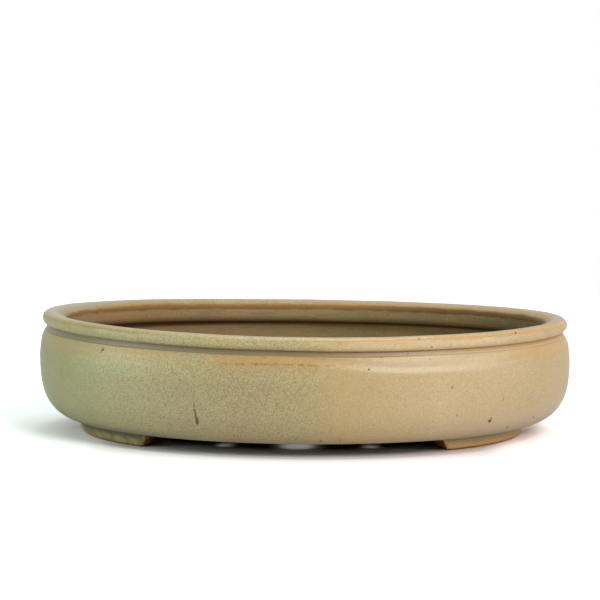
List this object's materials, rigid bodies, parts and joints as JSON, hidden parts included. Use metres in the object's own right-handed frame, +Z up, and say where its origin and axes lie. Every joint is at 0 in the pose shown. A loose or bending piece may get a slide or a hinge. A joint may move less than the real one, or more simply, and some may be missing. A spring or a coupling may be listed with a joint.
{
  "type": "oval bonsai pot",
  "caption": "Shallow oval glazed stoneware bonsai pot with a bellied wall, a half-round lip over a groove, curved corner feet and a floor with drainage and wire holes.",
  "frame": {"origin": "on the ground plane under the middle of the pot", "axes": "+Z up, +X along the pot's length to the right, -Y out of its front"},
  "size_m": [0.305, 0.214, 0.068],
  "materials": {
    "wall_glaze": "satin ash glaze, olive green to tan",
    "lip_glaze": "satin ash glaze, breaking to ochre at the edges",
    "bare_clay": "unglazed brown stoneware",
    "foot_glaze": "satin ash glaze, bare clay at the ground and on the cut ends"
  },
  "bodies": {
    "root": {"wall": "wall_glaze", "lip": "lip_glaze", "floor": "bare_clay", "foot_front_left": "foot_glaze", "foot_front_right": "foot_glaze", "foot_back_left": "foot_glaze", "foot_back_right": "foot_glaze"}
  },
  "joints": []
}
